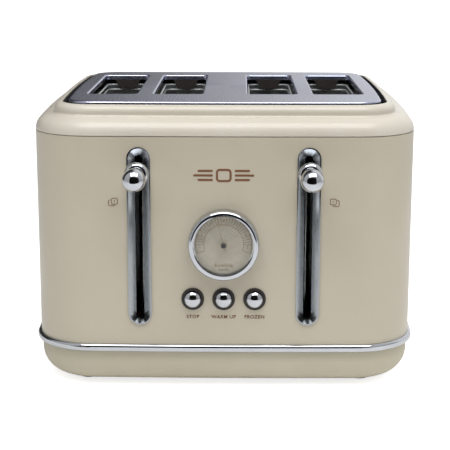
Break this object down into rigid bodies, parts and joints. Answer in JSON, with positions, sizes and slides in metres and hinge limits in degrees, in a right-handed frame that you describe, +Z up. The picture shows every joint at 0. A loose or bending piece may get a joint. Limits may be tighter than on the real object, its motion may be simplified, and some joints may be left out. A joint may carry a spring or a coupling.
{
  "type": "pop up toaster",
  "caption": "Retro pop-up toaster with long bread slots, chrome lifting levers, a browning dial, push buttons, swinging bread guards and slide-out crumb trays.",
  "frame": {"origin": "on the floor, in the middle of the toaster's footprint, levers included", "axes": "+Z up; +Y towards the back, so the levers and the dial face -Y; +X to the right as seen from the front"},
  "size_m": [0.2826, 0.3122, 0.206],
  "materials": {
    "painted_shell": "smooth gloss enamel",
    "painted_cover": "gloss paint on a moulded cover",
    "base_plastic": "satin moulded plastic",
    "brushed_plate": "brushed front to back",
    "bright_chrome": "polished",
    "black_plastic": "matt",
    "dial_enamel": "satin enamel with a printed scale",
    "clear_lens": "clear",
    "pointer_steel": "satin dark brown",
    "galvanised_sheet": "spangled zinc coat",
    "bright_wire": "plain drawn wire",
    "zinc_screw": "zinc plated",
    "heater_mica": "flaky, semi-matt",
    "resistance_ribbon": "oxidised",
    "coil_copper": "lacquered winding",
    "circuit_board": "varnished",
    "soft_rubber": "matt"
  },
  "bodies": {
    "body": {"base_housing": "base_plastic", "body_shell": "painted_shell", "top_cover": "painted_cover", "top_plate": "brushed_plate", "trim_ring": "bright_chrome", "feet": "soft_rubber", "cord_gland": "soft_rubber", "control_bracket": "black_plastic", "control_board": "circuit_board", "button_switches": "black_plastic", "button_bezels": "black_plastic", "dial_potentiometer": "black_plastic", "dial_face": "dial_enamel", "front_chassis": "galvanised_sheet", "rear_chassis": "galvanised_sheet", "heat_shields": "galvanised_sheet", "heating_ribbons": "resistance_ribbon", "screws": "zinc_screw", "left_lever_bezel": "bright_chrome", "left_guide_rod": "bright_wire", "left_electromagnet": "coil_copper", "left_carriage_spring": "bright_wire", "left_outer_heater": "heater_mica", "left_middle_heater": "heater_mica", "left_inner_heater": "heater_mica", "right_lever_bezel": "bright_chrome", "right_guide_rod": "bright_wire", "right_electromagnet": "coil_copper", "right_carriage_spring": "bright_wire", "right_outer_heater": "heater_mica", "right_middle_heater": "heater_mica", "right_inner_heater": "heater_mica"},
    "left_carriage": {"left_carriage_slider": "black_plastic", "left_lever": "bright_chrome", "left_outer_rack": "galvanised_sheet", "left_inner_rack": "galvanised_sheet", "left_armature": "galvanised_sheet"},
    "left_outer_slot_outer_guard_frame": {"left_outer_slot_outer_guard": "bright_wire"},
    "left_outer_slot_inner_guard_frame": {"left_outer_slot_inner_guard": "bright_wire"},
    "left_inner_slot_outer_guard_frame": {"left_inner_slot_outer_guard": "bright_wire"},
    "left_inner_slot_inner_guard_frame": {"left_inner_slot_inner_guard": "bright_wire"},
    "right_carriage": {"right_carriage_slider": "black_plastic", "right_lever": "bright_chrome", "right_outer_rack": "galvanised_sheet", "right_inner_rack": "galvanised_sheet", "right_armature": "galvanised_sheet"},
    "right_outer_slot_outer_guard_frame": {"right_outer_slot_outer_guard": "bright_wire"},
    "right_outer_slot_inner_guard_frame": {"right_outer_slot_inner_guard": "bright_wire"},
    "right_inner_slot_outer_guard_frame": {"right_inner_slot_outer_guard": "bright_wire"},
    "right_inner_slot_inner_guard_frame": {"right_inner_slot_inner_guard": "bright_wire"},
    "dial": {"dial_ring": "bright_chrome", "dial_lens": "clear_lens", "dial_pointer": "pointer_steel"},
    "cancel_cap": {"cancel_button": "bright_chrome"},
    "reheat_cap": {"reheat_button": "bright_chrome"},
    "defrost_cap": {"defrost_button": "bright_chrome"},
    "left_tray": {"left_crumb_tray": "galvanised_sheet", "left_tray_handle": "base_plastic"},
    "right_tray": {"right_crumb_tray": "galvanised_sheet", "right_tray_handle": "base_plastic"}
  },
  "joints": [
    {"name": "left_lever_slide", "type": "slide", "parent": "body", "child": "left_carriage", "axis": [0, 0, 1], "range_m": [-0.088, 0], "stiffness_N_per_m": 40, "springref_m": 0.06, "deforming": ["left_carriage_spring"]},
    {"name": "left_outer_slot_outer_guard_swing", "type": "hinge", "parent": "body", "child": "left_outer_slot_outer_guard_frame", "pos_m": [-0.1016, 0.02246, 0.046], "axis": [0, 1, 0], "range_deg": [0, 3.1]},
    {"name": "left_outer_slot_inner_guard_swing", "type": "hinge", "parent": "body", "child": "left_outer_slot_inner_guard_frame", "pos_m": [-0.0668, 0.02246, 0.046], "axis": [0, -1, 0], "range_deg": [0, 3.1]},
    {"name": "left_inner_slot_outer_guard_swing", "type": "hinge", "parent": "body", "child": "left_inner_slot_outer_guard_frame", "pos_m": [-0.0524, 0.02246, 0.046], "axis": [0, 1, 0], "range_deg": [0, 3.1]},
    {"name": "left_inner_slot_inner_guard_swing", "type": "hinge", "parent": "body", "child": "left_inner_slot_inner_guard_frame", "pos_m": [-0.0176, 0.02246, 0.046], "axis": [0, -1, 0], "range_deg": [0, 3.1]},
    {"name": "right_lever_slide", "type": "slide", "parent": "body", "child": "right_carriage", "axis": [0, 0, 1], "range_m": [-0.088, 0], "stiffness_N_per_m": 40, "springref_m": 0.06, "deforming": ["right_carriage_spring"]},
    {"name": "right_outer_slot_outer_guard_swing", "type": "hinge", "parent": "body", "child": "right_outer_slot_outer_guard_frame", "pos_m": [0.1016, 0.02246, 0.046], "axis": [0, -1, 0], "range_deg": [0, 3.1]},
    {"name": "right_outer_slot_inner_guard_swing", "type": "hinge", "parent": "body", "child": "right_outer_slot_inner_guard_frame", "pos_m": [0.0668, 0.02246, 0.046], "axis": [0, 1, 0], "range_deg": [0, 3.1]},
    {"name": "right_inner_slot_outer_guard_swing", "type": "hinge", "parent": "body", "child": "right_inner_slot_outer_guard_frame", "pos_m": [0.0524, 0.02246, 0.046], "axis": [0, -1, 0], "range_deg": [0, 3.1]},
    {"name": "right_inner_slot_inner_guard_swing", "type": "hinge", "parent": "body", "child": "right_inner_slot_inner_guard_frame", "pos_m": [0.0176, 0.02246, 0.046], "axis": [0, 1, 0], "range_deg": [0, 3.1]},
    {"name": "dial_turn", "type": "hinge", "parent": "body", "child": "dial", "pos_m": [0, -0.10854, 0.1086], "axis": [0, 1, 0], "range_deg": [-82.5, 112.5]},
    {"name": "cancel_press", "type": "slide", "parent": "body", "child": "cancel_cap", "axis": [0, 1, 0], "range_m": [0, 0.0015], "stiffness_N_per_m": 400, "springref_m": -0.001},
    {"name": "reheat_press", "type": "slide", "parent": "body", "child": "reheat_cap", "axis": [0, 1, 0], "range_m": [0, 0.0015], "stiffness_N_per_m": 400, "springref_m": -0.001},
    {"name": "defrost_press", "type": "slide", "parent": "body", "child": "defrost_cap", "axis": [0, 1, 0], "range_m": [0, 0.0015], "stiffness_N_per_m": 400, "springref_m": -0.001},
    {"name": "left_tray_slide", "type": "slide", "parent": "body", "child": "left_tray", "axis": [0, 1, 0], "range_m": [0, 0.2]},
    {"name": "right_tray_slide", "type": "slide", "parent": "body", "child": "right_tray", "axis": [0, 1, 0], "range_m": [0, 0.2]}
  ],
  "couplings": [
    {"joint": "left_outer_slot_outer_guard_swing", "follows": "left_lever_slide", "rad_per_m": -0.595},
    {"joint": "left_outer_slot_inner_guard_swing", "follows": "left_lever_slide", "rad_per_m": -0.595},
    {"joint": "left_inner_slot_outer_guard_swing", "follows": "left_lever_slide", "rad_per_m": -0.595},
    {"joint": "left_inner_slot_inner_guard_swing", "follows": "left_lever_slide", "rad_per_m": -0.595},
    {"joint": "right_outer_slot_outer_guard_swing", "follows": "right_lever_slide", "rad_per_m": -0.595},
    {"joint": "right_outer_slot_inner_guard_swing", "follows": "right_lever_slide", "rad_per_m": -0.595},
    {"joint": "right_inner_slot_outer_guard_swing", "follows": "right_lever_slide", "rad_per_m": -0.595},
    {"joint": "right_inner_slot_inner_guard_swing", "follows": "right_lever_slide", "rad_per_m": -0.595}
  ]
}
